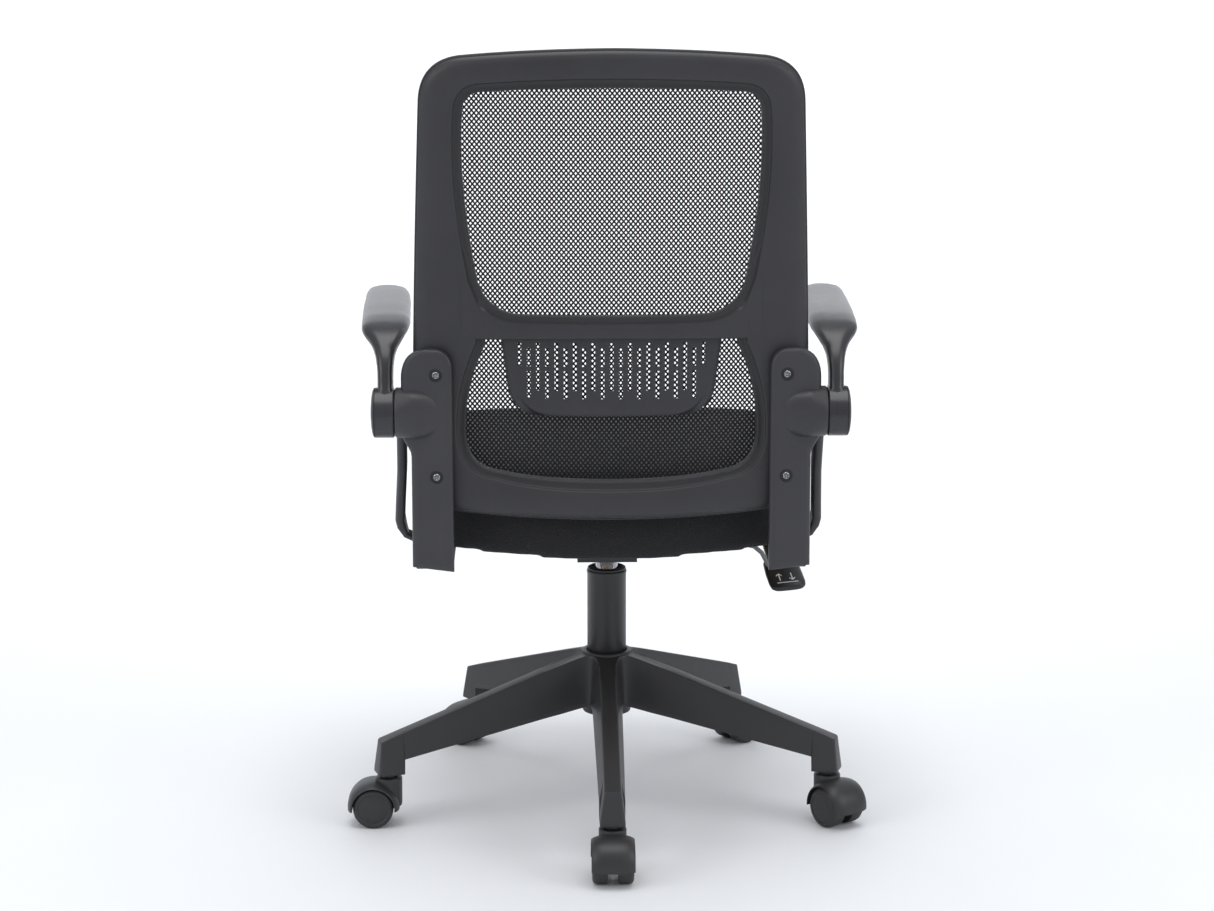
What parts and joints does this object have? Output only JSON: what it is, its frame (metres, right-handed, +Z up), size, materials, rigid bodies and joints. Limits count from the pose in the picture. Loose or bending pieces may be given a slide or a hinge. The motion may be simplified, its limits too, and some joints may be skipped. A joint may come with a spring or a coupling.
{
  "type": "swivel office chair",
  "caption": "Swivel office chair on a star base with casters, with a padded seat, a framed mesh back with a lumbar plate, and flip-up arms.",
  "frame": {"origin": "on the floor under the middle of the chair's bounding box", "axes": "+Z up, +Y the way the sitter faces, +X to the sitter's right"},
  "size_m": [0.6613, 0.6362, 0.991],
  "materials": {
    "black_nylon": "charcoal moulded nylon with a fine satin grain",
    "arm_plastic": "charcoal moulded plastic, satin",
    "caster_plastic": "black moulded plastic, satin",
    "lever_plastic": "black plastic, semi-gloss",
    "black_steel": "black powder coat",
    "chrome": "polished chrome plate",
    "zinc": "bright zinc plate",
    "plywood": "moulded plywood, raw",
    "seat_fabric": "black knitted spacer fabric",
    "back_fabric": "black open knitted mesh"
  },
  "bodies": {
    "base": {"star_base": "black_nylon", "column_tube": "black_steel", "column_bush": "black_nylon"},
    "piston": {"piston_rod": "zinc", "thrust_bearing": "zinc", "column_clip": "zinc"},
    "mechanism": {"gas_cylinder": "chrome", "mechanism_housing": "black_steel", "tilt_pin": "zinc", "tilt_spring": "zinc"},
    "valve_pin": {"release_pin": "zinc"},
    "lever_pivot": {"lever_bush": "black_nylon"},
    "lever": {"lever_rod": "black_steel", "lever_paddle": "lever_plastic"},
    "knob": {"tension_knob": "black_nylon", "tension_bolt": "zinc"},
    "seat": {"mechanism_top_plate": "black_steel", "seat_board": "plywood", "seat_cushion": "seat_fabric", "back_frame": "black_nylon", "back_mesh": "back_fabric", "lumbar_plate": "black_nylon", "arm_bracket_right": "black_nylon", "arm_bracket_left": "black_nylon", "arm_pivot_bolt_right": "zinc", "arm_pivot_bolt_left": "zinc", "back_screw_lower_right": "zinc", "back_screw_lower_left": "zinc", "back_screw_upper_right": "zinc", "back_screw_upper_left": "zinc"},
    "arm_right": {"armrest_right": "arm_plastic", "arm_pivot_cap_right": "black_nylon"},
    "arm_left": {"armrest_left": "arm_plastic", "arm_pivot_cap_left": "black_nylon"},
    "caster_1": {"caster_1_stem": "zinc", "caster_1_hood": "caster_plastic", "caster_1_axle": "zinc"},
    "caster_1_wheel_a": {"caster_1_wheel_a": "caster_plastic"},
    "caster_1_wheel_b": {"caster_1_wheel_b": "caster_plastic"},
    "caster_2": {"caster_2_stem": "zinc", "caster_2_hood": "caster_plastic", "caster_2_axle": "zinc"},
    "caster_2_wheel_a": {"caster_2_wheel_a": "caster_plastic"},
    "caster_2_wheel_b": {"caster_2_wheel_b": "caster_plastic"},
    "caster_3": {"caster_3_stem": "zinc", "caster_3_hood": "caster_plastic", "caster_3_axle": "zinc"},
    "caster_3_wheel_a": {"caster_3_wheel_a": "caster_plastic"},
    "caster_3_wheel_b": {"caster_3_wheel_b": "caster_plastic"},
    "caster_4": {"caster_4_stem": "zinc", "caster_4_hood": "caster_plastic", "caster_4_axle": "zinc"},
    "caster_4_wheel_a": {"caster_4_wheel_a": "caster_plastic"},
    "caster_4_wheel_b": {"caster_4_wheel_b": "caster_plastic"},
    "caster_5": {"caster_5_stem": "zinc", "caster_5_hood": "caster_plastic", "caster_5_axle": "zinc"},
    "caster_5_wheel_a": {"caster_5_wheel_a": "caster_plastic"},
    "caster_5_wheel_b": {"caster_5_wheel_b": "caster_plastic"}
  },
  "joints": [
    {"name": "seat_swivel", "type": "hinge", "parent": "base", "child": "piston", "pos_m": [0, 0.0275, 0.3], "axis": [0, 0, 1], "continuous": true},
    {"name": "seat_lift", "type": "slide", "parent": "piston", "child": "mechanism", "axis": [0, 0, 1], "range_m": [0, 0.1]},
    {"name": "seat_tilt", "type": "hinge", "parent": "mechanism", "child": "seat", "pos_m": [0, 0.0875, 0.355], "axis": [1, 0, 0], "range_deg": [0, 14], "stiffness_Nm_per_rad": 70, "springref_deg": -20.05},
    {"name": "arm_right_flip", "type": "hinge", "parent": "seat", "child": "arm_right", "pos_m": [0.27, -0.1945, 0.5585], "axis": [1, 0, 0], "range_deg": [0, 90]},
    {"name": "arm_left_flip", "type": "hinge", "parent": "seat", "child": "arm_left", "pos_m": [-0.27, -0.1945, 0.5585], "axis": [1, 0, 0], "range_deg": [0, 90]},
    {"name": "lever_lift", "type": "hinge", "parent": "mechanism", "child": "lever_pivot", "pos_m": [0.0365, 0.0275, 0.345], "axis": [0, -1, 0], "range_deg": [0, 6], "stiffness_Nm_per_rad": 1.5, "springref_deg": -2.86},
    {"name": "tilt_lock", "type": "slide", "parent": "lever_pivot", "child": "lever", "axis": [1, 0, 0], "range_m": [0, 0.012]},
    {"name": "valve_press", "type": "slide", "parent": "mechanism", "child": "valve_pin", "axis": [0, 0, -1], "range_m": [0, 0.006]},
    {"name": "tension_turn", "type": "hinge", "parent": "mechanism", "child": "knob", "pos_m": [0, 0.1325, 0.31], "axis": [0, 0, 1], "continuous": true},
    {"name": "caster_1_swivel", "type": "hinge", "parent": "base", "child": "caster_1", "pos_m": [0, -0.2655, 0.08], "axis": [0, 0, 1], "continuous": true},
    {"name": "caster_1_roll_a", "type": "hinge", "parent": "caster_1", "child": "caster_1_wheel_a", "pos_m": [0, -0.285, 0.0255], "axis": [1, 0, 0], "continuous": true},
    {"name": "caster_1_roll_b", "type": "hinge", "parent": "caster_1", "child": "caster_1_wheel_b", "pos_m": [0, -0.285, 0.0255], "axis": [1, 0, 0], "continuous": true},
    {"name": "caster_2_swivel", "type": "hinge", "parent": "base", "child": "caster_2", "pos_m": [0.27866, -0.06304, 0.08], "axis": [0, 0, 1], "continuous": true},
    {"name": "caster_2_roll_a", "type": "hinge", "parent": "caster_2", "child": "caster_2_wheel_a", "pos_m": [0.28984, -0.07902, 0.0255], "axis": [0.8191, 0.5736, 0], "continuous": true},
    {"name": "caster_2_roll_b", "type": "hinge", "parent": "caster_2", "child": "caster_2_wheel_b", "pos_m": [0.28984, -0.07902, 0.0255], "axis": [0.8191, 0.5736, 0], "continuous": true},
    {"name": "caster_3_swivel", "type": "hinge", "parent": "base", "child": "caster_3", "pos_m": [-0.27866, -0.06304, 0.08], "axis": [0, 0, 1], "continuous": true},
    {"name": "caster_3_roll_a", "type": "hinge", "parent": "caster_3", "child": "caster_3_wheel_a", "pos_m": [-0.29816, -0.06304, 0.0255], "axis": [0, -1, 0], "continuous": true},
    {"name": "caster_3_roll_b", "type": "hinge", "parent": "caster_3", "child": "caster_3_wheel_b", "pos_m": [-0.29816, -0.06304, 0.0255], "axis": [0, -1, 0], "continuous": true},
    {"name": "caster_4_swivel", "type": "hinge", "parent": "base", "child": "caster_4", "pos_m": [0.17222, 0.26454, 0.08], "axis": [0, 0, 1], "continuous": true},
    {"name": "caster_4_roll_a", "type": "hinge", "parent": "caster_4", "child": "caster_4_wheel_a", "pos_m": [0.18716, 0.27708, 0.0255], "axis": [-0.6428, 0.766, 0], "continuous": true},
    {"name": "caster_4_roll_b", "type": "hinge", "parent": "caster_4", "child": "caster_4_wheel_b", "pos_m": [0.18716, 0.27708, 0.0255], "axis": [-0.6428, 0.766, 0], "continuous": true},
    {"name": "caster_5_swivel", "type": "hinge", "parent": "base", "child": "caster_5", "pos_m": [-0.17222, 0.26454, 0.08], "axis": [0, 0, 1], "continuous": true},
    {"name": "caster_5_roll_a", "type": "hinge", "parent": "caster_5", "child": "caster_5_wheel_a", "pos_m": [-0.18716, 0.27708, 0.0255], "axis": [-0.6428, -0.766, 0], "continuous": true},
    {"name": "caster_5_roll_b", "type": "hinge", "parent": "caster_5", "child": "caster_5_wheel_b", "pos_m": [-0.18716, 0.27708, 0.0255], "axis": [-0.6428, -0.766, 0], "continuous": true}
  ],
  "couplings": [
    {"joint": "valve_press", "follows": "lever_lift", "m_per_rad": 0.046}
  ]
}
